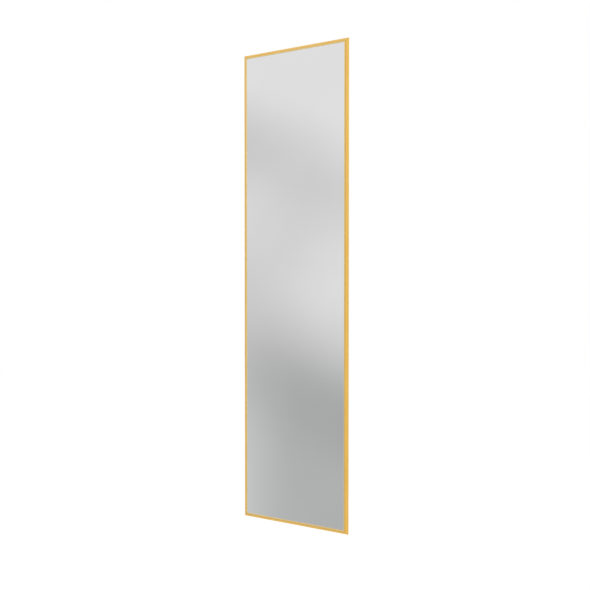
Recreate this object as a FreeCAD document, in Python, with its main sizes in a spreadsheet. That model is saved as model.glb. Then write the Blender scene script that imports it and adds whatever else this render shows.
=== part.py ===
import FreeCAD, Part

import math
import os
import re
import sys

import Sketcher

# Full length wall mirror: a mitred frame of aluminium section that holds a glass mirror, its
# backing and the springs that press them forward, with corner plates, hangers and bumpers behind.
# Axes: X to the right, Z up, the mirror faces -Y.  Origin: middle of the wall plane, which the
# bumpers touch.  Across a rail, "in" is measured from its outer edge and "deep" from its face.

SIZES = {
    # whole mirror
    "frame_width": 300.0,
    "frame_height": 1200.0,
    # face of the rails: a flat land beside the glass, then a slope back to the outer edge
    "face_land": 3.0,
    "slope_run": 6.6,
    "slope_drop": 5.8,
    "flange_thickness": 1.2,
    "edge_rounding": 0.4,
    # rebate for the glass and the channel behind it
    "lip_thickness": 1.8,
    "lip_cover": 2.6,
    "glass_play": 0.7,
    "wall_thickness": 1.5,
    "channel_wall": 1.2,
    "channel_width": 11.9,
    "slot_width": 6.0,
    # sheets in the rebate, from the front
    "glass_thickness": 3.0,
    "film_thickness": 0.3,
    "foam_thickness": 1.0,
    "board_thickness": 3.0,
    "board_play": 0.4,
    # bowed springs between the board and the channel
    "spring_room": 1.6,
    "spring_play": 0.05,
    "spring_thickness": 0.5,
    "spring_length": 50.0,
    "spring_width": 14.0,
    "spring_start": 7.2,
    # corner plates and their screws
    "key_arm": 44.0,
    "key_thickness": 1.6,
    "key_gap": 0.5,
    "key_play": 0.3,
    "shim_thickness": 0.8,
    "screw_radius": 2.0,
    "thread_play": 0.05,
    "corner_screw_start": 19.0,
    "corner_screw_pitch": 15.0,
    "corner_screw_stand": 0.6,
    "driver_width": 0.8,
    "driver_depth": 0.8,
    # hangers
    "hanger_drop": 180.0,
    "strap_width": 8.0,
    "strap_thickness": 1.0,
    "strap_reach": 22.0,
    "wire_radius": 1.0,
    "knuckle_play": 0.1,
    "ring_lift": 0.2,
    "ring_half_width": 5.4,
    "ring_bend": 1.2,
    "ring_side": 3.4,
    "head_radius": 3.4,
    "head_height": 1.6,
    "head_rounding": 0.9,
    "driver_span": 3.6,
    "hole_play": 0.25,
    "nut_length": 14.0,
    "nut_thickness": 1.8,
    "screw_tip": 0.7,
    # bumpers
    "bumper_height": 5.0,
    "bumper_radius": 4.5,
    "bumper_tip_radius": 3.8,
    "bumper_rounding": 0.5,
    "bumper_distance": 75.0,
    # how far a cutting shape runs past what it cuts, and how near two edges lie to be the same
    "overrun": 2.0,
    "same_place": 0.01,
}

# Where the three springs of a long rail lie, as shares of its length from its middle
SPRING_SHARES = (-1 / 3, 0, 1 / 3)

# Places that several pieces share, worked out from the sizes above
SHARED = {
    "face_width": "face_land + slope_run",
    "glass_inset": "face_land + slope_run - lip_cover",
    "wall_in": "face_land + slope_run - lip_cover - glass_play",
    "wall_out": "face_land + slope_run - lip_cover - glass_play - wall_thickness",
    "channel_end": "{wall_in} + channel_width",
    "rail_end": "{wall_in} + channel_width + channel_wall",
    "channel_middle": "{wall_in} + channel_width / 2",
    "flange_height": "flange_thickness * sqrt(slope_run ^ 2 + slope_drop ^ 2) / slope_run",
    "glass_deep": "lip_thickness",
    "film_deep": "{glass_deep} + glass_thickness",
    "foam_deep": "{film_deep} + film_thickness",
    "board_deep": "{foam_deep} + foam_thickness",
    "spring_deep": "{board_deep} + board_thickness",
    "web_deep": "{spring_deep} + spring_room",
    "shim_deep": "{web_deep} + channel_wall",
    "key_deep": "{shim_deep} + shim_thickness + key_gap",
    "lips_deep": "{key_deep} + key_thickness",
    "back_deep": "{lips_deep} + channel_wall",
    "wall_deep": "{back_deep} + bumper_height",
    "knuckle_radius": "wire_radius + knuckle_play + strap_thickness",
    "hinge_deep": "{knuckle_radius} + ring_lift",
    "ring_drop": "ring_bend + ring_side",
}

for name in SHARED:
    SHARED[name] = "(" + SHARED[name].format(**SHARED) + ")"

document = FreeCAD.newDocument("full_length_mirror")
sheet = document.addObject("Spreadsheet::Sheet", "Sizes")
for row, (alias, value) in enumerate(SIZES.items(), start=1):
    sheet.set("A%d" % row, alias)
    sheet.set("B%d" % row, str(value))
    sheet.setAlias("B%d" % row, alias)
document.recompute()

SUB_PARTS = []
ORIGIN_POINT = (-1, 1)


def full(text):
    """A formula with its shared places written out and its sizes, not its functions, read from the sheet."""
    return re.sub(r"\b([a-z_]{3,})\b(?!\()", r"Sizes.\1", text.format(**SHARED))


def number(text):
    return float(sheet.evalExpression(full(text)))


SAME_PLACE = number("same_place")


def bind(target, **formulas):
    for prop, formula in formulas.items():
        target.setExpression(prop, full(formula))


def new_body(label):
    body = document.addObject("PartDesign::Body", label)
    body.Label = label
    SUB_PARTS.append(body)
    return body


def place(piece, across, deep, up, turn=0):
    """Puts a piece at a place given by three formulas, turned about Y; deep runs from the face."""
    piece.Placement = FreeCAD.Placement(FreeCAD.Vector(), FreeCAD.Rotation(FreeCAD.Vector(0, 1, 0), turn))
    piece.setExpression("Placement.Base.x", full(across))
    piece.setExpression("Placement.Base.y", full(deep + " - {wall_deep}"))
    piece.setExpression("Placement.Base.z", full(up))


def new_sketch(body, name, role, offset=None):
    sketch = body.newObject("Sketcher::SketchObject", name)
    plane = next(feature for feature in body.Origin.OriginFeatures if feature.Role == role)
    sketch.AttachmentSupport = [(plane, "")]
    sketch.MapMode = "FlatFace"
    if offset:
        sketch.setExpression("AttachmentOffset.Base.z", full(offset))
    return sketch


def pin_point(sketch, element, end, across=None, along=None):
    """Fixes a point of an element at two formulas, or at one, from the sketch's origin."""
    for kind, formula in (("DistanceX", across), ("DistanceY", along)):
        if formula:
            distance = Sketcher.Constraint(kind, *ORIGIN_POINT, element, end, number(formula))
            index = sketch.addConstraint(distance)
            sketch.setExpression("Constraints[%d]" % index, full(formula))


def arc_between(start, finish, centre, anticlockwise):
    """An arc about a centre, always stored anticlockwise, as sketches hold them."""
    if not anticlockwise:
        start, finish = finish, start
    whole = Part.Circle(centre, FreeCAD.Vector(0, 0, 1), start.distanceToPoint(centre))
    from_angle, to_angle = (math.atan2(end.y - centre.y, end.x - centre.x) for end in (start, finish))
    return Part.ArcOfCircle(whole, from_angle, to_angle)


def outline(sketch, points, arcs=None):
    """A closed outline through points; arcs gives each bowed side's centre and if it runs anticlockwise."""
    arcs = arcs or {}
    places = [FreeCAD.Vector(number(across), number(along), 0) for across, along in points]
    first = sketch.GeometryCount
    ends = []
    for side, start in enumerate(places):
        finish = places[(side + 1) % len(places)]
        if side in arcs:
            centre_across, centre_along, anticlockwise = arcs[side]
            centre = FreeCAD.Vector(number(centre_across), number(centre_along), 0)
            sketch.addGeometry(arc_between(start, finish, centre, anticlockwise))
            ends.append((1, 2) if anticlockwise else (2, 1))
        else:
            sketch.addGeometry(Part.LineSegment(start, finish))
            ends.append((1, 2))
    for side, start in enumerate(places):
        following = (side + 1) % len(places)
        sketch.addConstraint(Sketcher.Constraint("Coincident", first + side, ends[side][1],
                                                 first + following, ends[following][0]))
        pin_point(sketch, first + side, ends[side][0], *points[side])
        if side in arcs:
            chord = places[following] - start
            if abs(chord.x) > abs(chord.y):
                pin_point(sketch, first + side, 3, along=arcs[side][1])
            else:
                pin_point(sketch, first + side, 3, across=arcs[side][0])


def circle(sketch, across, along, radius):
    element = sketch.addGeometry(Part.Circle(FreeCAD.Vector(number(across), number(along), 0),
                                             FreeCAD.Vector(0, 0, 1), number(radius)))
    pin_point(sketch, element, 3, across, along)
    index = sketch.addConstraint(Sketcher.Constraint("Radius", element, number(radius)))
    sketch.setExpression("Constraints[%d]" % index, full(radius))


def pad(body, sketch, length, reverse=False, both_ways=False):
    feature = body.newObject("PartDesign::Pad", "Pad")
    feature.Profile = sketch
    feature.Reversed = reverse
    if both_ways:
        feature.SideType = "Symmetric"
    bind(feature, Length=length)
    document.recompute()
    return feature


def pocket(body, sketch, depth=None, reverse=False):
    """Cuts a sketch out of a body, to a depth or right through, and checks that it took something."""
    before = body.Shape.Volume
    feature = body.newObject("PartDesign::Pocket", "Pocket")
    feature.Profile = sketch
    feature.Reversed = reverse
    if depth:
        bind(feature, Length=depth)
    else:
        feature.Type = "ThroughAll"
    document.recompute()
    if not body.Shape.Volume < before:
        sys.exit("a cut took nothing from " + body.Label)
    return feature


def round_edges(body, base, radius, chosen):
    """Rounds the edges of the last feature for which chosen(edge) is true."""
    feature = body.newObject("PartDesign::Fillet", "Fillet")
    names = ["Edge%d" % (index + 1) for index, edge in enumerate(base.Shape.Edges) if chosen(edge)]
    feature.Base = (base, names)
    bind(feature, Radius=radius)
    document.recompute()
    return feature


def runs_along(edge, deep, into):
    """True for an edge along X that lies at a depth and at a distance in."""
    box = edge.BoundBox
    offset = math.hypot(box.Center.y - deep, box.Center.z - into)
    return box.XLength > SAME_PLACE and max(box.YLength, box.ZLength, offset) < SAME_PLACE


# Rails


def rail(label, length, across, up, turn):
    """One side of the frame: the section along X, then a mitre at each end."""
    body = new_body(label)
    section = new_sketch(body, label + "_section", "YZ_Plane")
    slot_start = "{channel_middle} - slot_width / 2"
    slot_finish = "{channel_middle} + slot_width / 2"
    under_flange = "slope_drop * (1 - {wall_out} / slope_run) + {flange_height}"
    outline(section, [
        ("slope_drop", "0"),
        ("0", "slope_run"),
        ("0", "{face_width}"),
        ("lip_thickness", "{face_width}"),
        ("lip_thickness", "{wall_in}"),
        ("{web_deep}", "{wall_in}"),
        ("{web_deep}", "{rail_end}"),
        ("{back_deep}", "{rail_end}"),
        ("{back_deep}", slot_finish),
        ("{lips_deep}", slot_finish),
        ("{lips_deep}", "{channel_end}"),
        ("{shim_deep}", "{channel_end}"),
        ("{shim_deep}", "{wall_in}"),
        ("{lips_deep}", "{wall_in}"),
        ("{lips_deep}", slot_start),
        ("{back_deep}", slot_start),
        ("{back_deep}", "{wall_out}"),
        (under_flange, "{wall_out}"),
        ("slope_drop + {flange_height}", "0"),
    ])
    bar = pad(body, section, length, both_ways=True)
    soft = [("slope_drop", "0"), ("0", "slope_run"), ("0", "{face_width}")]
    spots = [(number(deep), number(into)) for deep, into in soft]
    round_edges(body, bar, "edge_rounding",
                lambda edge: any(runs_along(edge, deep, into) for deep, into in spots))
    mitres = new_sketch(body, label + "_mitres", "XZ_Plane")
    for side in ("", "-"):
        outline(mitres, [
            (side + "(" + length + " / 2 + overrun)", "-overrun"),
            (side + "(" + length + " / 2 + overrun)", "{rail_end} + overrun"),
            (side + "(" + length + " / 2 - {rail_end} - overrun)", "{rail_end} + overrun"),
        ])
    pocket(body, mitres)
    place(body, across, "0", up, turn)


rail("frame_bottom", "frame_width", "0", "-frame_height / 2", 0)
rail("frame_right", "frame_height", "frame_width / 2", "0", -90)
rail("frame_top", "frame_width", "0", "frame_height / 2", 180)
rail("frame_left", "frame_height", "-frame_width / 2", "0", 90)

# Sheets in the rebate


def sheet_piece(label, inset, deep, thickness):
    body = new_body(label)
    sketch = new_sketch(body, label + "_outline", "XZ_Plane")
    half_width = "(frame_width / 2 - (" + inset + "))"
    half_height = "(frame_height / 2 - (" + inset + "))"
    outline(sketch, [
        ("-" + half_width, "-" + half_height),
        (half_width, "-" + half_height),
        (half_width, half_height),
        ("-" + half_width, half_height),
    ])
    pad(body, sketch, thickness, reverse=True)
    place(body, "0", deep, "0")


sheet_piece("mirror_glass", "{glass_inset}", "{glass_deep}", "glass_thickness")
sheet_piece("safety_film", "{glass_inset}", "{film_deep}", "film_thickness")
sheet_piece("foam_sheet", "{glass_inset} + board_play", "{foam_deep}", "foam_thickness")
sheet_piece("backing_board", "{glass_inset} - board_play", "{board_deep}", "board_thickness")

# Springs that press the sheets forward


def spring(label, across, up, turn):
    body = new_body(label)
    bow = new_sketch(body, label + "_bow", "XY_Plane")
    rise = "(spring_room - 2 * spring_play - spring_thickness)"
    curve = "((spring_length / 2) ^ 2 + " + rise + " ^ 2) / (2 * " + rise + ")"
    outline(bow, [
        ("-spring_length / 2", "0"),
        ("spring_length / 2", "0"),
        ("spring_length / 2", "spring_thickness"),
        ("-spring_length / 2", "spring_thickness"),
    ], arcs={
        0: ("0", rise + " - " + curve, False),
        2: ("0", rise + " + spring_thickness - " + curve, True),
    })
    pad(body, bow, "spring_width")
    place(body, across, "{spring_deep} + spring_play", up, turn)


for count, share in enumerate(SPRING_SHARES, start=1):
    up = "frame_height * (%r)" % share
    spring("spring_left_%d" % count, "-frame_width / 2 + spring_start", up, 90)
    spring("spring_right_%d" % count, "frame_width / 2 - spring_start", up, -90)
spring("spring_top", "0", "frame_height / 2 - spring_start", 180)
spring("spring_bottom", "0", "-frame_height / 2 + spring_start", 0)

# Corner plates and their screws

key_inset = "({wall_in} + key_play)"
CORNERS = {
    "bottom_left": ("-frame_width / 2 + " + key_inset, "-frame_height / 2 + " + key_inset, 0),
    "bottom_right": ("frame_width / 2 - " + key_inset, "-frame_height / 2 + " + key_inset, -90),
    "top_right": ("frame_width / 2 - " + key_inset, "frame_height / 2 - " + key_inset, 180),
    "top_left": ("-frame_width / 2 + " + key_inset, "frame_height / 2 - " + key_inset, 90),
}
arm_width = "(channel_width - 2 * key_play)"
# two screws to an arm, on the middle of the arm
screw_middle = "(" + arm_width + " / 2)"
steps = ("corner_screw_start", "(corner_screw_start + corner_screw_pitch)")
SCREW_SPOTS = [(step, screw_middle) for step in steps] + [(screw_middle, step) for step in steps]


def angle_plate(label, thickness, deep, holes, corner):
    body = new_body(label)
    sketch = new_sketch(body, label + "_outline", "XZ_Plane")
    outline(sketch, [
        ("0", "0"),
        ("key_arm", "0"),
        ("key_arm", arm_width),
        (arm_width, arm_width),
        (arm_width, "key_arm"),
        ("0", "key_arm"),
    ])
    if holes:
        for across, along in SCREW_SPOTS:
            circle(sketch, across, along, "screw_radius + thread_play")
    pad(body, sketch, thickness, reverse=True)
    across, up, turn = CORNERS[corner]
    place(body, across, deep, up, turn)


def corner_screws(label, corner):
    """Four slotted grub screws, threaded through the key and bearing on the shim."""
    length = "(key_gap + key_thickness + corner_screw_stand)"
    slot_top = "(" + length + " - driver_depth)"
    screws = []
    for index, (across, along) in enumerate(SCREW_SPOTS):
        shank = document.addObject("Part::Cylinder", "%s_shank_%d" % (label, index))
        bind(shank, Radius="screw_radius", Height=length)
        groove = document.addObject("Part::Box", "%s_groove_%d" % (label, index))
        bind(groove, Length="2 * (screw_radius + overrun)", Width="driver_width",
             Height="driver_depth + overrun")
        groove.setExpression("Placement.Base.x", full("-screw_radius - overrun"))
        groove.setExpression("Placement.Base.y", full("-driver_width / 2"))
        groove.setExpression("Placement.Base.z", full(slot_top))
        screw = document.addObject("Part::Cut", "%s_screw_%d" % (label, index))
        screw.Base = shank
        screw.Tool = groove
        screw.Placement = FreeCAD.Placement(FreeCAD.Vector(), FreeCAD.Rotation(FreeCAD.Vector(1, 0, 0), -90))
        screw.setExpression("Placement.Base.x", full(across))
        screw.setExpression("Placement.Base.z", full(along))
        screws.append(screw)
    group = document.addObject("Part::Compound", label)
    group.Label = label
    group.Links = screws
    SUB_PARTS.append(group)
    across, up, turn = CORNERS[corner]
    place(group, across, "{shim_deep} + shim_thickness", up, turn)


for corner in CORNERS:
    angle_plate("corner_key_" + corner, "key_thickness", "{key_deep}", True, corner)
    angle_plate("corner_shim_" + corner, "shim_thickness", "{shim_deep}", False, corner)
    corner_screws("corner_screws_" + corner, corner)

# Hangers: a strap with a rolled knuckle, the ring that swings in it, its screw and nut plate

hanger_up = "frame_height / 2 - hanger_drop"
HANGERS = {
    "left": "-frame_width / 2 + {channel_middle}",
    "right": "frame_width / 2 - {channel_middle}",
}


def hanger_strap(label, across):
    """A flat strap whose upper end is rolled round the ring's bar; its lower end is round."""
    body = new_body(label)
    side = new_sketch(body, label + "_side", "YZ_Plane")
    roll_starts = "-sqrt({knuckle_radius} ^ 2 - ({hinge_deep} - strap_thickness) ^ 2)"
    outline(side, [
        ("0", "0"),
        ("0", "-strap_reach - strap_width / 2"),
        ("strap_thickness", "-strap_reach - strap_width / 2"),
        ("strap_thickness", roll_starts),
        ("ring_lift", "0"),
    ], arcs={3: ("{hinge_deep}", "0", True)})
    circle(side, "{hinge_deep}", "0", "wire_radius + knuckle_play")
    pad(body, side, "strap_width", both_ways=True)
    end = new_sketch(body, label + "_end", "XZ_Plane")
    half = "strap_width / 2"
    outline(end, [
        ("-" + half, "-strap_reach"),
        (half, "-strap_reach"),
        (half + " + overrun", "-strap_reach"),
        (half + " + overrun", "-strap_reach - " + half + " - overrun"),
        ("-" + half + " - overrun", "-strap_reach - " + half + " - overrun"),
        ("-" + half + " - overrun", "-strap_reach"),
    ], arcs={0: ("0", "-strap_reach", True)})
    pocket(body, end)
    hole = new_sketch(body, label + "_hole", "XZ_Plane")
    circle(hole, "0", "-strap_reach", "screw_radius + hole_play")
    pocket(body, hole)
    place(body, across, "{back_deep}", hanger_up)


def hanger_ring(label, across):
    """A D of round wire whose straight bar turns in the knuckle; it hangs down at rest."""
    body = new_body(label)
    path = new_sketch(body, label + "_path", "XZ_Plane")
    bar = "(ring_half_width - ring_bend)"
    outline(path, [
        ("-" + bar, "0"),
        (bar, "0"),
        ("ring_half_width", "-ring_bend"),
        ("ring_half_width", "-{ring_drop}"),
        ("-ring_half_width", "-{ring_drop}"),
        ("-ring_half_width", "-ring_bend"),
    ], arcs={
        1: (bar, "-ring_bend", False),
        3: ("0", "-{ring_drop}", False),
        5: ("-" + bar, "-ring_bend", False),
    })
    wire = new_sketch(body, label + "_wire", "YZ_Plane")
    circle(wire, "0", "0", "wire_radius")
    document.recompute()
    sweep = body.newObject("PartDesign::AdditivePipe", label + "_sweep")
    sweep.Profile = wire
    sweep.Spine = (path, [])
    document.recompute()
    place(body, across, "{back_deep} + {hinge_deep}", hanger_up)


def hanger_screw(label, across):
    """A round-headed screw with a cross recess; its head seats on the strap."""
    body = new_body(label)
    head = new_sketch(body, label + "_head", "XZ_Plane")
    circle(head, "0", "0", "head_radius")
    top = pad(body, head, "head_height", reverse=True)
    deepest = number("head_height")
    round_edges(body, top, "min(head_rounding, head_height / 2)",
                lambda edge: abs(edge.CenterOfMass.y - deepest) < SAME_PLACE)
    shank = new_sketch(body, label + "_shank", "XZ_Plane")
    circle(shank, "0", "0", "screw_radius")
    pad(body, shank, "strap_thickness + channel_wall + nut_thickness + screw_tip")
    cross = new_sketch(body, label + "_cross", "XZ_Plane", "-head_height")
    arm = "driver_span / 2"
    thin = "driver_width / 2"
    outline(cross, [
        ("-" + arm, "-" + thin), ("-" + thin, "-" + thin), ("-" + thin, "-" + arm), (thin, "-" + arm),
        (thin, "-" + thin), (arm, "-" + thin), (arm, thin), (thin, thin),
        (thin, arm), ("-" + thin, arm), ("-" + thin, thin), ("-" + arm, thin),
    ])
    pocket(body, cross, "driver_depth", reverse=True)
    place(body, across, "{back_deep} + strap_thickness", hanger_up + " - strap_reach")


def nut_plate(label, across):
    """The plate inside the channel that the hanger's screw draws against the lips."""
    body = new_body(label)
    plate = new_sketch(body, label + "_outline", "XZ_Plane")
    half = "(channel_width / 2 - key_play)"
    outline(plate, [
        ("-" + half, "-nut_length / 2"),
        (half, "-nut_length / 2"),
        (half, "nut_length / 2"),
        ("-" + half, "nut_length / 2"),
    ])
    circle(plate, "0", "0", "screw_radius + thread_play")
    pad(body, plate, "nut_thickness", reverse=True)
    place(body, across, "{lips_deep} - nut_thickness", hanger_up + " - strap_reach")


for side, across in HANGERS.items():
    hanger_strap("hanger_strap_" + side, across)
    hanger_ring("hanger_ring_" + side, across)
    hanger_screw("hanger_screw_" + side, across)
    nut_plate("hanger_nut_plate_" + side, across)

# Bumpers that keep the frame off the wall


def bumper(label, across, up):
    body = new_body(label)
    half = new_sketch(body, label + "_half_section", "XY_Plane")
    outline(half, [
        ("0", "0"),
        ("bumper_radius", "0"),
        ("bumper_tip_radius", "bumper_height"),
        ("0", "bumper_height"),
    ])
    turned = body.newObject("PartDesign::Revolution", label + "_turned")
    turned.Profile = half
    turned.ReferenceAxis = (half, ["V_Axis"])
    document.recompute()
    tip = number("bumper_height")
    round_edges(body, turned, "bumper_rounding", lambda edge: abs(edge.CenterOfMass.y - tip) < SAME_PLACE)
    place(body, across, "{back_deep}", up)


BUMPER_LEVELS = {
    "top": "frame_height / 2 - bumper_distance",
    "bottom": "-frame_height / 2 + bumper_distance",
}
for level, up in BUMPER_LEVELS.items():
    for side, across in HANGERS.items():
        bumper("bumper_%s_%s" % (level, side), across, up)

document.recompute()

# Check everything, then write one file for each sub-part

for item in document.Objects:
    if "Invalid" in item.State or "Error" in item.State:
        sys.exit("%s did not recompute: %s" % (item.Name, item.State))
for piece in SUB_PARTS:
    if piece.Shape.isNull() or not piece.Shape.isValid() or not piece.Shape.Solids:
        sys.exit(piece.Label + " has no valid solid")

os.makedirs("parts", exist_ok=True)
for piece in SUB_PARTS:
    piece.Shape.exportStep(os.path.join("parts", piece.Label + ".step"))
    print("%-30s solids %d  volume %.1f mm3" % (piece.Label, len(piece.Shape.Solids), piece.Shape.Volume))
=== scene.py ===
import math

import bmesh
import bpy
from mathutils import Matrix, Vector

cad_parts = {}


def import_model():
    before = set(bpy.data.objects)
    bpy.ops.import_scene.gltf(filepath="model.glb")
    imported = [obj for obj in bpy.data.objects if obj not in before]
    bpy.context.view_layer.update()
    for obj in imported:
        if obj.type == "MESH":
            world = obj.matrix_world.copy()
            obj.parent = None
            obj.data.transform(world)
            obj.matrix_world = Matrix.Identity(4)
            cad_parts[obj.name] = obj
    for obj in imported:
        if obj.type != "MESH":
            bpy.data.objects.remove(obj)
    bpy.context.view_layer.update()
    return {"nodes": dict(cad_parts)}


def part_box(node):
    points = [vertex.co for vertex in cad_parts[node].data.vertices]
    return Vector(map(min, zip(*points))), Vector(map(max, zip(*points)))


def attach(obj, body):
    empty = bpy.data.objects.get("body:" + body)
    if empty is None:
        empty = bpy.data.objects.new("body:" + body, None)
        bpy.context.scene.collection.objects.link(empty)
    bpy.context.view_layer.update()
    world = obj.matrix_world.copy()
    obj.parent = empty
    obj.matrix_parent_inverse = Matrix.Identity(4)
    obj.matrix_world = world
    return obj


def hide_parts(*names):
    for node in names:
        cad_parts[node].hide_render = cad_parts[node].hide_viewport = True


# Full length mirror: the finish and broken edges of every piece, its small screws, the studio and the
# camera. Metres throughout: X to the right, Z up, and the glass faces -Y.

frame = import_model()

MM = 0.001
NODES = frame["nodes"]
FRAME_HALF_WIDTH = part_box("frame_right")[1].x
FRAME_HALF_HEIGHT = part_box("frame_top")[1].z
FACE_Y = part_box("frame_right")[0].y

SCREEN_WHITE = 255.0


def srgb(red, green, blue):
    """A colour given as it looks on a screen, 0 to 255, as the linear colour that a shader takes."""
    shares = (channel / SCREEN_WHITE for channel in (red, green, blue))
    return tuple(s / 12.92 if s <= 0.04045 else ((s + 0.055) / 1.055) ** 2.4 for s in shares) + (1.0,)


def grey(level):
    return srgb(level, level, level)


# Node trees

# the sockets of a Mix node that take its two colours and give the mixed one
MIX_FIRST = 6
MIX_SECOND = 7
MIX_RESULT = 2


class Tree:
    """The node tree of a material or a world, and short calls for the nodes in it."""

    def __init__(self, owner, output):
        owner.use_nodes = True
        self.tree = owner.node_tree
        self.tree.nodes.clear()
        self.output = self.node(output)

    def node(self, kind, **attributes):
        made = self.tree.nodes.new(kind)
        for name, value in attributes.items():
            setattr(made, name, value)
        return made

    def plug(self, target, value):
        """Links an output to an input, or sets the input to a plain value."""
        if isinstance(value, bpy.types.NodeSocket):
            self.tree.links.new(value, target)
        else:
            target.default_value = value

    def show(self, shader):
        """Makes this shader what the tree gives."""
        self.plug(self.output.inputs["Surface"], shader)

    def place(self):
        """Where a point lies on the object at rest."""
        return self.node("ShaderNodeTexCoord").outputs["Object"]

    def normal(self):
        return self.node("ShaderNodeTexCoord").outputs["Normal"]

    def axes(self, vector):
        """The X, Y and Z of a vector."""
        parts = self.node("ShaderNodeSeparateXYZ")
        self.plug(parts.inputs[0], vector)
        return parts.outputs

    def math(self, operation, first, second=0.0):
        made = self.node("ShaderNodeMath", operation=operation)
        self.plug(made.inputs[0], first)
        self.plug(made.inputs[1], second)
        return made.outputs[0]

    def chain(self, operation, first, *others):
        """The operation on the first two values, then on what that gives and the next."""
        for other in others:
            first = self.math(operation, first, other)
        return first

    def plus(self, *values):
        return self.chain("ADD", *values)

    def times(self, *values):
        return self.chain("MULTIPLY", *values)

    def largest(self, *values):
        return self.chain("MAXIMUM", *values)

    def apart(self, first, second):
        """How far two values lie from each other."""
        return self.math("ABSOLUTE", self.math("SUBTRACT", first, second))

    def reach(self, x, y):
        """How far a point lies from the upright axis through the mirror's middle."""
        return self.math("SQRT", self.plus(self.times(x, x), self.times(y, y)))

    def fit(self, value, over, onto=(0.0, 1.0), smooth=True):
        """Maps a value from one range onto another, easing at both ends or in a straight line."""
        made = self.node("ShaderNodeMapRange", interpolation_type="SMOOTHSTEP" if smooth else "LINEAR")
        for socket, number in zip(made.inputs, (value, *over, *onto)):
            self.plug(socket, number)
        return made.outputs[0]

    def near(self, distance, fade, smooth=True):
        """1 up to the first distance of the fade, and 0 from its second on."""
        return self.fit(distance, fade, (1.0, 0.0), smooth)

    def stretched(self, vector, scale):
        made = self.node("ShaderNodeVectorMath", operation="MULTIPLY")
        self.plug(made.inputs[0], vector)
        self.plug(made.inputs[1], scale)
        return made.outputs[0]

    def turned(self, vector, angle):
        """The vector turned about the axis that runs from front to back."""
        made = self.node("ShaderNodeVectorRotate", rotation_type="Y_AXIS")
        self.plug(made.inputs["Vector"], vector)
        self.plug(made.inputs["Angle"], angle)
        return made.outputs[0]

    def attribute(self, name):
        return self.node("ShaderNodeAttribute", attribute_name=name).outputs["Fac"]

    def noise(self, vector, scale, detail=3.0, roughness=0.55):
        made = self.node("ShaderNodeTexNoise")
        self.plug(made.inputs["Vector"], vector)
        self.plug(made.inputs["Scale"], scale)
        self.plug(made.inputs["Detail"], detail)
        self.plug(made.inputs["Roughness"], roughness)
        return made.outputs["Fac"]

    def cells(self, vector, scale):
        made = self.node("ShaderNodeTexVoronoi")
        self.plug(made.inputs["Vector"], vector)
        self.plug(made.inputs["Scale"], scale)
        return made.outputs

    def mix(self, share, first, second):
        """The first colour where the share is 0, and the second where it is 1."""
        made = self.node("ShaderNodeMix", data_type="RGBA")
        self.plug(made.inputs["Factor"], share)
        self.plug(made.inputs[MIX_FIRST], first)
        self.plug(made.inputs[MIX_SECOND], second)
        return made.outputs[MIX_RESULT]

    def bump(self, height, distance, strength):
        made = self.node("ShaderNodeBump")
        self.plug(made.inputs["Height"], height)
        self.plug(made.inputs["Distance"], distance)
        self.plug(made.inputs["Strength"], strength)
        return made.outputs["Normal"]


class Finish(Tree):
    """The node tree of a new material, with one Principled shader."""

    def __init__(self, name, **sockets):
        self.material = bpy.data.materials.new(name)
        super().__init__(self.material, "ShaderNodeOutputMaterial")
        self.shader = self.node("ShaderNodeBsdfPrincipled")
        self.show(self.shader.outputs["BSDF"])
        self.set(**sockets)

    def set(self, **sockets):
        """Plugs values into the shader's inputs, whose names have _ for a space here."""
        for name, value in sockets.items():
            self.plug(self.shader.inputs[name.replace("_", " ")], value)


# Finishes

# the part of a noise's own range, 0 to 1, that a mix or a roughness runs over
SWING = (0.3, 0.7)
MIDDLE_SWING = (0.35, 0.65)
NARROW_SWING = (0.4, 0.6)
# the grain of drawn and rolled steel: the scale of its noise and the depth of its bumps
METAL_GRAIN = 2600.0
METAL_RELIEF = 0.006 * MM

GOLD_PALE = srgb(235, 194, 101)
GOLD_DEEP = srgb(233, 190, 95)
GOLD_LINE = srgb(226, 181, 83)
# wear on the arrises, and the painted highlight along the lip
GOLD_WORN_AND_HIGHLIT = srgb(246, 218, 150)
GOLD_SHADE = srgb(96, 70, 34)
# the painted shade line beside the ridge
GOLD_PAINTED_SHADE = srgb(182, 142, 104)
# the scale of the drawing lines along the rail, against that across it
DRAWN = 0.004
# lines over the rails' face, by how far in from the outer edge each lies
RIDGE_IN = 6.6 * MM
SHADE_LINE_IN = 6.1 * MM
FACE_WIDTH = 9.6 * MM
# how far from its middle each mark is full, and where it has faded out
RIM_FADE = (0.2 * MM, 0.9 * MM)
RIDGE_FADE = (0.1 * MM, 0.7 * MM)
SHADE_LINE_FADE = (0.3 * MM, 0.8 * MM)
LIP_FADE = (0.8 * MM, 2.0 * MM)
HAIR_FADE = (0.05 * MM, 0.16 * MM)
# the depths behind the face's front over which the lip's painted highlight ends
LIP_BACK = (FACE_Y + 1.9 * MM, FACE_Y + 2.3 * MM)
# the heights over which the painted shade line fades down the uprights, and what is left of it at the
# lower
SHADE_LINE_HEIGHTS = (-0.4, 0.5)
SHADE_LINE_LOW = 0.1
# the most that each mark changes the colour
LINE_SHARE = 0.24
SHADE_LINE_SHARE = 0.6
WORN_SHARE = 0.35
HAIR_SHARE = 0.7
# how much smoother worn gold is, and how high the broad lines stand beside the fine ones
WORN_POLISH = 0.25
BROAD_HEIGHT = 1.5


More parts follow.
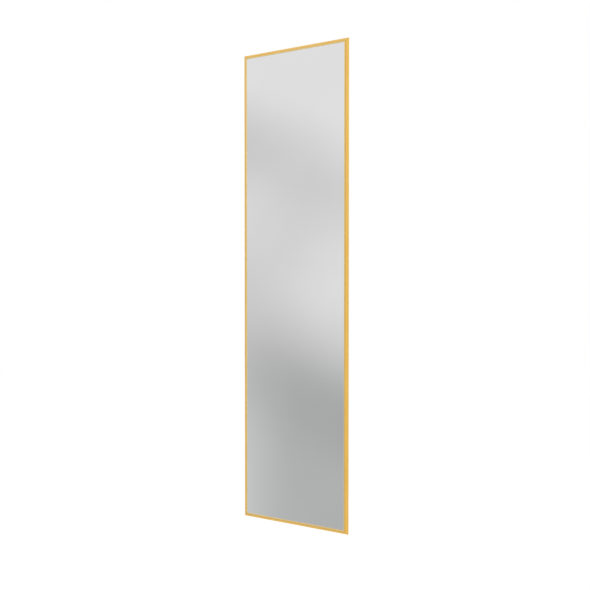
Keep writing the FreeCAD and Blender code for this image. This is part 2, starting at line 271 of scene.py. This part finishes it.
def gold(name, along):
    """Satin gold: fine lines drawn along the rail, cloudy dye, hair lines at the mitres, wear, a painted
    highlight along the lip and a painted shade line beside the ridge.
    """
    finish = Finish(name, Metallic=0.8, IOR=1.5)
    place = finish.place()
    x, y, z = finish.axes(place)
    drawn = finish.stretched(place, (1.0, 1.0, DRAWN) if along == "z" else (DRAWN, 1.0, 1.0))
    lines = finish.noise(drawn, scale=5200.0, detail=2.0)
    broad_lines = finish.noise(drawn, scale=900.0, detail=1.0)
    cloud = finish.noise(place, scale=14.0, detail=2.0)
    mist = finish.noise(place, scale=1900.0, detail=1.0)
    scuffs = finish.fit(finish.noise(place, scale=120.0, detail=4.0), over=(0.48, 0.66))

    # how far in from the outer edge a point lies, on either pair of rails
    across = finish.math("SUBTRACT", FRAME_HALF_WIDTH, finish.math("ABSOLUTE", x))
    upward = finish.math("SUBTRACT", FRAME_HALF_HEIGHT, finish.math("ABSOLUTE", z))
    inward = across if along == "z" else upward

    hair_line = finish.near(finish.apart(across, upward), HAIR_FADE)
    ridge = finish.near(finish.apart(inward, RIDGE_IN), RIDGE_FADE)
    rim = finish.near(inward, RIM_FADE)
    worn = finish.times(finish.largest(ridge, rim), scuffs, WORN_SHARE)
    # a painted highlight makes the lip beside the glass pale all along
    lip_highlight = finish.times(finish.near(finish.apart(inward, FACE_WIDTH), LIP_FADE), finish.near(y, LIP_BACK))
    # painted shade: a fine dark line beside the ridge, fainter low on the uprights
    drop = finish.fit(z, over=SHADE_LINE_HEIGHTS, onto=(SHADE_LINE_LOW, 1.0)) if along == "z" else 1.0
    shade_line = finish.times(finish.near(finish.apart(inward, SHADE_LINE_IN), SHADE_LINE_FADE), drop)

    dyed = finish.mix(finish.fit(cloud, MIDDLE_SWING), GOLD_DEEP, GOLD_PALE)
    lined = finish.mix(finish.times(finish.fit(lines, over=(0.35, 0.7)), LINE_SHARE), dyed, GOLD_LINE)
    # the painted shade line beside the ridge, then wear and the painted highlight along the lip
    marked = finish.mix(finish.times(shade_line, SHADE_LINE_SHARE), lined, GOLD_PAINTED_SHADE)
    worn_and_highlit = finish.mix(finish.largest(worn, lip_highlight), marked, GOLD_WORN_AND_HIGHLIT)
    finish.set(Base_Color=finish.mix(finish.times(hair_line, HAIR_SHARE), worn_and_highlit, GOLD_SHADE))
    satin = finish.plus(finish.fit(broad_lines, SWING, onto=(0.48, 0.55)),
                        finish.fit(mist, SWING, onto=(-0.02, 0.02)))
    finish.set(Roughness=finish.math("SUBTRACT", satin, finish.times(worn, WORN_POLISH)))
    height = finish.plus(lines, finish.times(broad_lines, BROAD_HEIGHT))
    finish.set(Normal=finish.bump(height, distance=0.003 * MM, strength=0.4))
    return finish.material


SILVER = grey(247)
SILVER_PALE = grey(249)
GLASS_EDGE = srgb(120, 168, 150)
GLASS_EDGE_PALE = srgb(176, 206, 194)
MIRROR_PAINT = srgb(108, 116, 120)
MIRROR_PAINT_PALE = srgb(122, 129, 132)
# how much rougher the painted back is than an edge
PAINT_MATT = 0.35
# how squarely a face looks forwards or back: an edge at the most, and the sheet's own faces at the least
EDGE_FACING = 0.9
SHEET_FACING = 0.99


def mirror():
    """Silvered glass: the mirror on the front, a ground green edge, and the painted silvering behind."""
    finish = Finish("mirror", IOR=1.52)
    place = finish.place()
    facing = finish.axes(finish.normal())[1]
    front = finish.near(facing, (-SHEET_FACING, -EDGE_FACING), smooth=False)
    back = finish.fit(facing, (EDGE_FACING, SHEET_FACING), smooth=False)
    haze = finish.noise(place, scale=3.0, detail=4.0)
    grind = finish.noise(place, scale=2400.0, detail=2.0)
    paint = finish.noise(place, scale=60.0, detail=5.0)
    edge = finish.mix(finish.fit(grind, SWING), GLASS_EDGE, GLASS_EDGE_PALE)
    behind = finish.mix(finish.fit(paint, MIDDLE_SWING), MIRROR_PAINT, MIRROR_PAINT_PALE)
    silver = finish.mix(finish.fit(haze, NARROW_SWING), SILVER, SILVER_PALE)
    finish.set(Base_Color=finish.mix(front, finish.mix(back, edge, behind), silver), Metallic=front)
    rough = finish.plus(finish.times(back, PAINT_MATT), finish.fit(grind, SWING, onto=(0.3, 0.45)))
    clear = finish.fit(haze, MIDDLE_SWING, onto=(0.012, 0.02))
    finish.set(Roughness=finish.fit(front, over=(0.0, 1.0), onto=(rough, clear), smooth=False))
    return finish.material


BOARD_BROWN = srgb(138, 104, 72)
BOARD_PALE = srgb(152, 117, 82)
BOARD_DARK = srgb(120, 89, 61)
BOARD_FLECK = srgb(82, 57, 38)
# the ways that the board's fibres lie, and the scale of each
FIBRE_LAYERS = [(math.radians(25), 1700.0), (math.radians(82), 1450.0), (math.radians(147), 1250.0)]
FIBRE_STRETCH = 0.28
FLECK_SHARE = 0.45


def hardboard():
    """Brown pressed fibre: matted short fibres, a few darker flecks and slow changes of tone."""
    finish = Finish("board", IOR=1.45)
    place = finish.place()
    tone = finish.noise(place, scale=5.0)
    layers = []
    for turn, scale in FIBRE_LAYERS:
        along = finish.stretched(finish.turned(place, turn), (FIBRE_STRETCH, 1.0, 1.0))
        layers.append(finish.noise(along, scale, detail=4.0, roughness=0.6))
    mat = finish.math("DIVIDE", finish.plus(*layers), len(layers))
    flecks = finish.near(finish.cells(place, scale=260.0)["Distance"], fade=(0.06, 0.2))
    plain = finish.mix(finish.fit(tone, SWING), BOARD_BROWN, BOARD_PALE)
    felted = finish.mix(finish.fit(mat, over=(0.42, 0.57)), BOARD_DARK, plain)
    finish.set(Base_Color=finish.mix(finish.times(flecks, FLECK_SHARE), felted, BOARD_FLECK))
    finish.set(Roughness=finish.fit(mat, NARROW_SWING, onto=(0.62, 0.82)))
    finish.set(Normal=finish.bump(mat, distance=0.08 * MM, strength=0.6))
    return finish.material


# painted shade in the screws' recesses: slot floors, cross recesses and thread roots
RECESS_SHADE = srgb(58, 55, 50)
# how much of a plated tone its crystals make, and how much tumbling marks add to its grain
CRYSTAL_SHARE = 0.35
TUMBLE_SHARE = 0.6
# how far below and above its own roughness a plated piece runs
ROUGH_BELOW = 0.07
ROUGH_ABOVE = 0.09


def plated(name, deep, pale, rough, spangle, drawn=(1.0, 1.0, 1.0)):
    """A plated steel: mottled crystals, tumbling marks, the grain of drawn wire, and painted shade in
    recesses.
    """
    finish = Finish(name, Metallic=1.0)
    place = finish.place()
    tone = finish.node("ShaderNodeRGBToBW")
    finish.plug(tone.inputs[0], finish.cells(place, scale=spangle)["Color"])
    bloom = finish.noise(place, scale=160.0, detail=4.0)
    grain = finish.noise(finish.stretched(place, drawn), METAL_GRAIN, detail=2.0)
    share = finish.plus(finish.times(tone.outputs[0], CRYSTAL_SHARE),
                        finish.fit(bloom, SWING, onto=(0.0, 1.0 - CRYSTAL_SHARE)))
    # painted shade darkens the recesses that a screw's mesh marks
    recess_shade = finish.times(finish.attribute("recess_shade"), finish.fit(bloom, over=(0.25, 0.75), onto=(0.7, 0.95)))
    finish.set(Base_Color=finish.mix(recess_shade, finish.mix(share, deep, pale), RECESS_SHADE))
    marks = finish.plus(grain, finish.times(bloom, TUMBLE_SHARE))
    roughness = (rough - ROUGH_BELOW, rough + ROUGH_ABOVE)
    finish.set(Roughness=finish.fit(marks, over=(0.6, 1.0), onto=roughness))
    finish.set(Normal=finish.bump(grain, METAL_RELIEF, strength=0.5))
    return finish.material


BLUED = srgb(82, 92, 118)
BLUED_STRAW = srgb(126, 116, 104)
BLUED_PALE = srgb(150, 154, 164)
ROLLED = (1.0, 1.0, 0.06)
ROLL_SHARE = 0.3


def blued_steel():
    """Tempered spring steel: straw to blue heat colours in soft bands, and paler lines from rolling."""
    finish = Finish("spring_steel", Metallic=1.0)
    place = finish.place()
    heat = finish.noise(place, scale=40.0, detail=2.0)
    roll = finish.noise(finish.stretched(place, ROLLED), METAL_GRAIN, detail=2.0)
    tempered = finish.mix(finish.fit(heat, over=(0.36, 0.6)), BLUED, BLUED_STRAW)
    pale = finish.times(finish.fit(roll, over=(0.4, 0.7)), ROLL_SHARE)
    finish.set(Base_Color=finish.mix(pale, tempered, BLUED_PALE))
    finish.set(Roughness=finish.fit(roll, SWING, onto=(0.26, 0.4)))
    finish.set(Normal=finish.bump(roll, METAL_RELIEF, strength=0.5))
    return finish.material


RUBBER = srgb(150, 150, 147)
RUBBER_DUST = srgb(176, 175, 170)


def rubber():
    """Soft grey bumper rubber: a fine moulded grain and a little dust."""
    finish = Finish("bumper", IOR=1.5)
    place = finish.place()
    grain = finish.noise(place, scale=2200.0)
    dust = finish.noise(place, scale=220.0, detail=4.0)
    finish.set(Base_Color=finish.mix(finish.fit(dust, over=(0.45, 0.7)), RUBBER, RUBBER_DUST))
    finish.set(Roughness=finish.fit(grain, SWING, onto=(0.5, 0.66)))
    finish.set(Normal=finish.bump(grain, distance=0.03 * MM, strength=0.5))
    return finish.material


FILM_GREY = srgb(188, 192, 196)
FILM_PALE = srgb(214, 217, 220)
THREAD_WAVE = 2 * math.pi / (1.1 * MM)


def film():
    """Safety film: a pale plastic with the fine woven threads that hold broken glass."""
    finish = Finish("film", IOR=1.49)
    x, _, z = finish.axes(finish.place())
    threads = finish.times(*(finish.math("SINE", finish.times(axis, THREAD_WAVE)) for axis in (x, z)))
    finish.set(Base_Color=finish.mix(finish.fit(threads, over=(-0.6, 0.6)), FILM_GREY, FILM_PALE))
    finish.set(Roughness=finish.fit(threads, over=(-1.0, 1.0), onto=(0.3, 0.5)))
    finish.set(Normal=finish.bump(threads, distance=0.05 * MM, strength=0.5))
    return finish.material


FOAM_WHITE = srgb(240, 240, 237)
FOAM_SHADE = srgb(214, 214, 210)


def foam():
    """White foam sheet: small closed cells."""
    finish = Finish("foam", IOR=1.4)
    walls = finish.cells(finish.place(), scale=900.0)["Distance"]
    finish.set(Base_Color=finish.mix(finish.fit(walls, over=(0.1, 0.6)), FOAM_WHITE, FOAM_SHADE))
    finish.set(Roughness=finish.fit(walls, over=(0.0, 0.7), onto=(0.7, 0.9)))
    finish.set(Normal=finish.bump(walls, distance=0.2 * MM, strength=0.6))
    return finish.material


upright_gold = gold("gold_upright", "z")
level_gold = gold("gold_level", "x")
zinc = plated("zinc_plate", srgb(168, 172, 178), srgb(206, 209, 212), rough=0.4, spangle=700.0)
screw_steel = plated("screw_steel", srgb(178, 180, 184), srgb(214, 216, 220), rough=0.28, spangle=1500.0)
hanger_steel = plated("hanger_steel", srgb(196, 186, 160), srgb(222, 214, 190), rough=0.24, spangle=1100.0,
                      drawn=(0.1, 1.0, 1.0))
FINISHES = {
    "frame_left": upright_gold,
    "frame_right": upright_gold,
    "frame_top": level_gold,
    "frame_bottom": level_gold,
    "mirror_glass": mirror(),
    "safety_film": film(),
    "foam_sheet": foam(),
    "backing_board": hardboard(),
    "spring_": blued_steel(),
    "corner_key_": zinc,
    "corner_shim_": zinc,
    "corner_screws_": screw_steel,
    "hanger_strap_": hanger_steel,
    "hanger_ring_": hanger_steel,
    "hanger_screw_": screw_steel,
    "hanger_nut_plate_": zinc,
    "bumper_": rubber(),
}

# Edges: how far each kind of piece has its arrises broken, less where its holes have short facets
EDGES = {
    "frame_": 0.08 * MM,
    "mirror_glass": 0.3 * MM,
    "backing_board": 0.25 * MM,
    "spring_": 0.08 * MM,
    "corner_key_": 0.04 * MM,
    "corner_shim_": 0.1 * MM,
    "hanger_strap_": 0.04 * MM,
    "hanger_nut_plate_": 0.12 * MM,
}
ARRIS_STEPS = 2
# points this near are joined, faces this flat to each other are one, and an arris is sharper than this
WELD_DISTANCE = 0.001 * MM
FLAT_ANGLE = math.radians(0.5)
ARRIS_ANGLE = math.radians(35)


def by_start(table, name):
    """The table's entry whose key the name starts with."""
    return next((value for key, value in table.items() if name.startswith(key)), None)


def soften(piece, width):
    """Joins a piece's split points and flat faces, breaks its arrises and smooths their shading."""
    weld = piece.modifiers.new("weld", "WELD")
    weld.merge_threshold = WELD_DISTANCE
    flats = piece.modifiers.new("flats", "DECIMATE")
    flats.decimate_type = "DISSOLVE"
    flats.angle_limit = FLAT_ANGLE
    edges = piece.modifiers.new("arris", "BEVEL")
    edges.width = width
    edges.segments = ARRIS_STEPS
    edges.use_clamp_overlap = False
    edges.limit_method = "ANGLE"
    edges.angle_limit = ARRIS_ANGLE
    shade = piece.modifiers.new("shade", "WEIGHTED_NORMAL")
    shade.keep_sharp = True


for name, piece in NODES.items():
    piece.data.materials.clear()
    piece.data.materials.append(by_start(FINISHES, name))
    width = by_start(EDGES, name)
    if width:
        soften(piece, width)

# Screws

THREAD_PITCH = 0.7 * MM
THREAD_DEPTH = 0.28 * MM
THREAD_ROWS = 8
THREAD_FADE = 0.5 * MM
# how dark the painted shade in the thread's roots is
THREAD_SHADE = 0.6
SCREW_RADIUS = 2.0 * MM
SCREW_CHAMFER = 0.3 * MM
SLOT_HALF = 0.4 * MM
SLOT_DEPTH = 0.8 * MM
# steps round each half of a grub screw, on either side of its slot
HALF_ARC = 14
# a corner screw's distances from the two outer edges of its plate
SCREW_STEPS = (19.0 * MM, 34.0 * MM)
SCREW_ASIDE = 5.65 * MM
STRAP_THICKNESS = 1.0 * MM
# the pan head in millimetres: distance from the axis and height over the strap, down its side,
# then the crown's height and how it falls with the square of that distance
HEAD_OUTLINE = [(2.5, 1.42), (2.95, 1.2), (3.25, 0.86), (3.38, 0.5), (3.38, 0.16), (3.25, 0.0)]
HEAD_CROWN = (1.6, 0.027)
# the cross: its grid's lines from the middle, an arm's half width and reach, and its depth at either end
CROSS_LINES = (0.0, 0.3, 0.42, 0.75, 1.15, 1.5, 1.62, 1.8)
CROSS_HALF = 0.35
CROSS_REACH = 1.55
CROSS_DEPTH = (0.95, 0.4)
SHARP_FROM = math.radians(38)
# each screw stops where it grips, so no two slots lie alike
TURN_STEP = math.radians(137.5)


def mesh_piece(name, bm, material):
    """Puts the mesh into the scene as an object."""
    mesh = bpy.data.meshes.new(name)
    bm.to_mesh(mesh)
    bm.free()
    made = bpy.data.objects.new(name, mesh)
    bpy.context.scene.collection.objects.link(made)
    made.data.materials.append(material)
    return made


def screw_mesh():
    """An empty mesh whose points carry how much painted shade darkens them."""
    bm = bmesh.new()
    bm.verts.layers.float.new("recess_shade")
    return bm


def screw_point(bm, place, radius, angle, along, recess_shade=0.0):
    """A point on a screw whose axis runs towards the wall, by its angle and how far along it lies."""
    x, z = place.x + radius * math.cos(angle), place.z + radius * math.sin(angle)
    made = bm.verts.new((x, place.y + along, z))
    made[bm.verts.layers.float["recess_shade"]] = recess_shade
    return made


def thread(angle, along, length):
    """The thread's radius and the painted shade in its roots: a V that climbs once round in each pitch and
    fades at both ends.
    """
    root = abs(2 * ((along / THREAD_PITCH - angle / (2 * math.pi)) % 1.0) - 1)
    from_end = min(along, length - along)
    root *= min(1.0, from_end / THREAD_FADE)
    chamfer = SCREW_CHAMFER * max(0.0, 1.0 - from_end / SCREW_CHAMFER)
    return SCREW_RADIUS - THREAD_DEPTH * root - chamfer, THREAD_SHADE * root


def thread_levels(low, high):
    """Even steps along a screw from low to high, about THREAD_ROWS to each pitch."""
    count = max(2, round((high - low) / THREAD_PITCH * THREAD_ROWS))
    return [low + (high - low) * step / count for step in range(count + 1)]


def grub_screw(bm, place, length, turn):
    """A threaded stud with a chamfered foot and a screwdriver slot across its outer end."""
    edge = math.asin(SLOT_HALF / SCREW_RADIUS)
    land = [edge + (math.pi - 2 * edge) * step / HALF_ARC for step in range(HALF_ARC + 1)]
    angles = [0.0] + land + [math.pi] + [angle + math.pi for angle in land]
    count = len(angles)
    upper = list(range(1, HALF_ARC + 2))
    lower = [index + HALF_ARC + 2 for index in upper]
    levels = thread_levels(0.0, length - SLOT_DEPTH)
    slot_row = len(levels) - 1
    levels += thread_levels(length - SLOT_DEPTH, length)[1:]
    rows = []
    for level, along in enumerate(levels):
        row = []
        for index, angle in enumerate(angles):
            radius, recess_shade = thread(angle, along, length)
            if index in (upper[0], upper[-1], lower[0], lower[-1]):
                # the walls of the slot stay level, whatever the thread does
                aside = math.copysign(SLOT_HALF, math.sin(angle))
                outward = math.copysign(math.sqrt(radius ** 2 - SLOT_HALF ** 2), math.cos(angle))
                angle = math.atan2(aside, outward)
            # the slot's floor gets full painted shade
            if level == slot_row:
                recess_shade = 1.0
            row.append(screw_point(bm, place, radius, angle + turn, along, recess_shade))
        rows.append(row)
    for index, (below, above) in enumerate(zip(rows, rows[1:])):
        if index < slot_row:
            around = [(a, (a + 1) % count) for a in range(count)]
        else:
            around = list(zip(upper, upper[1:])) + list(zip(lower, lower[1:]))
            for arc in (upper, lower):
                bm.faces.new((below[arc[0]], below[arc[-1]], above[arc[-1]], above[arc[0]]))
        for a, b in around:
            bm.faces.new((below[a], below[b], above[b], above[a]))
    bm.faces.new(rows[0])
    floor_ring = [lower[-1], 0, upper[0], upper[-1], upper[-1] + 1, lower[0]]
    bm.faces.new([rows[slot_row][index] for index in floor_ring])
    for arc in (upper, lower):
        bm.faces.new([rows[-1][index] for index in arc])


def crown(across, up):
    """The height of the pan head's top in millimetres, with its tapered cross recess, and the painted
    shade in that recess.
    """
    top, fall = HEAD_CROWN
    height = top - fall * math.hypot(across, up) ** 2
    along, aside = max(abs(across), abs(up)), min(abs(across), abs(up))
    if aside < CROSS_HALF and along < CROSS_REACH:
        return height - CROSS_DEPTH[0] - (CROSS_DEPTH[1] - CROSS_DEPTH[0]) * along / CROSS_REACH, 1.0
    return height, 0.0


def pan_screw(bm, place, shank, turn):
    """A round-headed screw: a crowned head with a cross recess, and a threaded shank that runs inwards."""
    lines = [-line for line in reversed(CROSS_LINES[1:])] + list(CROSS_LINES)
    last = len(lines) - 1
    grid = {}
    for i, across in enumerate(lines):
        for j, up in enumerate(lines):
            height, recess_shade = crown(across, up)
            radius, angle = math.hypot(across, up) * MM, math.atan2(up, across) + turn
            grid[i, j] = screw_point(bm, place, radius, angle, height * MM, recess_shade)
    for i in range(last):
        for j in range(last):
            bm.faces.new((grid[i, j], grid[i + 1, j], grid[i + 1, j + 1], grid[i, j + 1]))
    border = [(i, 0) for i in range(last)] + [(last, j) for j in range(last)]
    border += [(i, last) for i in range(last, 0, -1)] + [(0, j) for j in range(last, 0, -1)]
    angles = [math.atan2(lines[j], lines[i]) + turn for i, j in border]
    rings = [[grid[spot] for spot in border]]
    for radius, height in HEAD_OUTLINE:
        rings.append([screw_point(bm, place, radius * MM, angle, height * MM) for angle in angles])
    for along in thread_levels(0.0, shank):
        ring = []
        for angle in angles:
            radius, recess_shade = thread(angle, along, shank)
            ring.append(screw_point(bm, place, radius, angle, -along, recess_shade))
        rings.append(ring)
    for before, after in zip(rings, rings[1:]):
        for a in range(len(border)):
            b = (a + 1) % len(border)
            bm.faces.new((before[a], before[b], after[b], after[a]))
    bm.faces.new(rings[-1])


def screw_piece(name, bm, node):
    """Makes the screws in the mesh a piece that stands for a CAD node of the frame."""
    bmesh.ops.delete(bm, geom=[point for point in bm.verts if not point.link_faces], context="VERTS")
    bmesh.ops.recalc_face_normals(bm, faces=bm.faces)
    for face in bm.faces:
        face.smooth = True
    made = mesh_piece(name, bm, screw_steel)
    made.data.set_sharp_from_angle(angle=SHARP_FROM)
    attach(made, "frame")
    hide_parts(node)


screws_made = 0
for corner in ("bottom_left", "bottom_right", "top_right", "top_left"):
    plate_low, plate_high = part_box("corner_key_" + corner)
    low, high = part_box("corner_screws_" + corner)
    out_x, in_x = (plate_high.x, -1) if corner.endswith("right") else (plate_low.x, 1)
    out_z, in_z = (plate_high.z, -1) if corner.startswith("top") else (plate_low.z, 1)
    bm = screw_mesh()
    for step in SCREW_STEPS:
        for along_x, along_z in ((step, SCREW_ASIDE), (SCREW_ASIDE, step)):
            place = Vector((out_x + in_x * along_x, low.y, out_z + in_z * along_z))
            screws_made += 1
            grub_screw(bm, place, high.y - low.y, screws_made * TURN_STEP)
    screw_piece("grub_screws_" + corner, bm, "corner_screws_" + corner)

for side in ("left", "right"):
    low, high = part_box("hanger_screw_" + side)
    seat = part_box("hanger_strap_" + side)[0].y + STRAP_THICKNESS
    place = Vector((0.5 * (low.x + high.x), seat, 0.5 * (low.z + high.z)))
    bm = screw_mesh()
    screws_made += 1
    pan_screw(bm, place, seat - low.y, screws_made * TURN_STEP)
    screw_piece("pan_screw_" + side, bm, "hanger_screw_" + side)

# Studio

# the strength of the white that lights the object
AMBIENT = 0.8
# where each softbox stands, its size in metres and its power in watts
SOFTBOXES = {
    "key": ((2.2, -2.4, 2.6), 2.0, 12.0),
    "fill": ((-2.6, -2.0, 2.2), 1.8, 10.0),
    "rear": ((0.6, 3.0, 2.4), 3.6, 22.0),
}

FLOOR_Z = -1.5
FLOOR_HALF = 9.0
FLOOR_COLOUR = grey(244)
# the floor's lift to white grows with the distance from the mirror, from one range onto the other
FLOOR_REACH = (1.0, 5.0)
FLOOR_LIFT = (0.19, 0.28)

SWEEP_RADIUS = 2.2
SWEEP_TOP = 2.6
SWEEP_FOOT = FLOOR_Z + 2 * MM
SWEEP_CURVE = 0.25
SWEEP_INNER = 0.3
SWEEP_TURN = math.radians(130)
CURVE_STEPS = 8
SWEEP_COLUMNS = 72
# the middle of the part that the glass shows from the camera, and how far to either side the greys lean
SWEEP_MIDDLE = math.radians(29.5)
LEAN_TURNS = (-0.18, 0.18)
SCREEN_GAMMA = 2.2
SWEEP_TOP_GREY = 228.1
# soft steps down the sweep: middle, half depth, lean with the turn, change in grey
SWEEP_STEPS = [
    (0.79, 0.26, -0.85, -31.2),
    (0.44, 0.26, 0.75, -20.4),
    (0.52, 0.36, -0.17, 37.7),
    (-0.08, 0.52, 4.93, 10.6),
    (-0.45, 0.53, -0.94, -86.5),
    (-0.70, 0.29, -1.05, 42.2),
]
# a glow low on one side: middle, half depth and change in grey, and the turns over which it fades
SWEEP_GLOW = (-0.145, 0.265, 58.4)
GLOW_TURNS = (-0.333, 0.022)
# the greys' tint low on the sweep, and the heights over which it fades
SWEEP_LOW_TINT = (0.977, 1.0, 0.997)
SWEEP_TINT_HEIGHTS = (-0.6, -0.35)
# where the greys end, by turn, height and distance from the mirror
SWEEP_RIGHT_EDGE = (0.8, 1.15)
SWEEP_LEFT_EDGE = (-1.1, -0.85)
SWEEP_TOP_EDGE = (1.4, 2.2)
SWEEP_FLOOR_EDGE = (1.2, 1.9)
# the white beyond them near the floor, and the heights over which it turns plain
SWEEP_WARM = srgb(255, 251, 247)
SWEEP_WARM_HEIGHTS = (-0.9, 0.3)


def white_share(tree):
    """1 for rays from the camera, a mirror or clear glass, and 0 for light that falls on the object."""
    path = tree.node("ShaderNodeLightPath").outputs
    return tree.largest(path["Is Camera Ray"], path["Is Glossy Ray"], path["Is Transmission Ray"])


def floor():
    """A pale floor well below the mirror. It looks white and keeps the mirror's shadow."""
    finish = Finish("floor", Base_Color=FLOOR_COLOUR, Roughness=0.9)
    x, y, _ = finish.axes(finish.place())
    lift = finish.node("ShaderNodeEmission")
    away = finish.fit(finish.reach(x, y), FLOOR_REACH, onto=FLOOR_LIFT)
    finish.plug(lift.inputs["Strength"], finish.times(white_share(finish), away))
    both = finish.node("ShaderNodeAddShader")
    finish.plug(both.inputs[0], finish.shader.outputs[0])
    finish.plug(both.inputs[1], lift.outputs[0])
    finish.show(both.outputs[0])
    bm = bmesh.new()
    corners = [(-1, -1), (1, -1), (1, 1), (-1, 1)]
    bm.faces.new([bm.verts.new((a * FLOOR_HALF, b * FLOOR_HALF, FLOOR_Z)) for a, b in corners])
    mesh_piece("floor", bm, finish.material)


def grey_step(tree, height, middle, half, change):
    """A soft change of grey: all of it below the middle, and none above."""
    return tree.fit(height, over=(middle - half, middle + half), onto=(change, 0.0))


def sweep_colour(tree):
    """Soft greys from the floor up that lean across their middle, and white beyond, warmer low down."""
    x, y, z = tree.axes(tree.place())
    turn = tree.plus(tree.math("ARCTAN2", x, tree.times(y, -1.0)), SWEEP_MIDDLE)
    across = tree.fit(turn, LEAN_TURNS, onto=LEAN_TURNS, smooth=False)
    level = SWEEP_TOP_GREY
    for middle, half, lean, change in SWEEP_STEPS:
        height = tree.math("SUBTRACT", z, tree.times(across, lean))
        level = tree.plus(level, grey_step(tree, height, middle, half, change))
    level = tree.plus(level, tree.times(grey_step(tree, z, *SWEEP_GLOW), tree.near(turn, GLOW_TURNS)))
    shade = tree.math("POWER", tree.math("DIVIDE", level, SCREEN_WHITE), SCREEN_GAMMA)
    tone = tree.node("ShaderNodeCombineXYZ")
    for socket, tint in zip(tone.inputs, SWEEP_LOW_TINT):
        tree.plug(socket, tree.times(shade, tree.fit(z, SWEEP_TINT_HEIGHTS, onto=(tint, 1.0))))
    beyond = tree.largest(tree.fit(turn, SWEEP_RIGHT_EDGE), tree.near(turn, SWEEP_LEFT_EDGE),
                          tree.fit(z, SWEEP_TOP_EDGE), tree.near(tree.reach(x, y), SWEEP_FLOOR_EDGE))
    white = tree.mix(tree.fit(z, SWEEP_WARM_HEIGHTS), SWEEP_WARM, grey(255))
    return tree.mix(beyond, tone.outputs[0], white)


def sweep():
    """The grey sweep before the mirror, seen only in it: a curved wall that runs down into the floor."""
    material = bpy.data.materials.new("sweep")
    tree = Tree(material, "ShaderNodeOutputMaterial")
    glow = tree.node("ShaderNodeEmission")
    tree.plug(glow.inputs["Color"], sweep_colour(tree))
    tree.show(glow.outputs[0])
    profile = [(SWEEP_RADIUS, SWEEP_TOP), (SWEEP_RADIUS, 0.5 * SWEEP_TOP), (SWEEP_RADIUS, 0.0)]
    for step in range(CURVE_STEPS + 1):
        angle = 0.5 * math.pi * step / CURVE_STEPS
        profile.append((SWEEP_RADIUS - SWEEP_CURVE + SWEEP_CURVE * math.cos(angle),
                        SWEEP_FOOT + SWEEP_CURVE - SWEEP_CURVE * math.sin(angle)))
    profile.append((SWEEP_INNER, SWEEP_FOOT))
    bm = bmesh.new()
    columns = []
    for step in range(SWEEP_COLUMNS + 1):
        angle = SWEEP_TURN * (2 * step / SWEEP_COLUMNS - 1)
        columns.append([bm.verts.new((r * math.sin(angle), -r * math.cos(angle), z)) for r, z in profile])
    for before, after in zip(columns, columns[1:]):
        for index in range(len(profile) - 1):
            bm.faces.new((before[index], before[index + 1], after[index + 1], after[index]))
    made = mesh_piece("sweep", bm, material)
    made.visible_camera = False
    made.visible_diffuse = False
    made.visible_shadow = False


def world():
    """White where it is seen, and a softer white where it lights the object."""
    made = bpy.data.worlds.new("studio")
    bpy.context.scene.world = made
    tree = Tree(made, "ShaderNodeOutputWorld")
    background = tree.node("ShaderNodeBackground")
    strength = tree.fit(white_share(tree), over=(0.0, 1.0), onto=(AMBIENT, 1.0), smooth=False)
    tree.plug(background.inputs["Strength"], strength)
    tree.plug(background.inputs["Color"], grey(255))
    tree.show(background.outputs[0])


def softbox(name, place, size, power):
    """A square lamp that looks at the middle of the mirror."""
    lamp = bpy.data.lights.new(name, "AREA")
    lamp.shape = "SQUARE"
    lamp.size = size
    lamp.energy = power
    made = bpy.data.objects.new(name, lamp)
    made.location = place
    made.rotation_euler = (-Vector(place)).to_track_quat("-Z", "Y").to_euler()
    bpy.context.scene.collection.objects.link(made)


floor()
sweep()
world()
for name, (place, size, power) in SOFTBOXES.items():
    softbox(name, place, size, power)

# Camera

CAMERA_PLACE = (0.9054, -1.6065, 0.0155)
CAMERA_LOOK = (-0.49387, 0.86933, -0.01884)
CAMERA_LENS = 44.438
CAMERA_SENSOR = 36.0
CAMERA_CLIP = (0.05, 60.0)


def camera():
    data = bpy.data.cameras.new("camera")
    data.lens = CAMERA_LENS
    data.sensor_width = CAMERA_SENSOR
    data.clip_start, data.clip_end = CAMERA_CLIP
    made = bpy.data.objects.new("camera", data)
    made.location = CAMERA_PLACE
    made.rotation_euler = Vector(CAMERA_LOOK).to_track_quat("-Z", "Y").to_euler()
    bpy.context.scene.collection.objects.link(made)
    bpy.context.scene.camera = made


camera()
bpy.context.scene.view_settings.view_transform = "Standard"
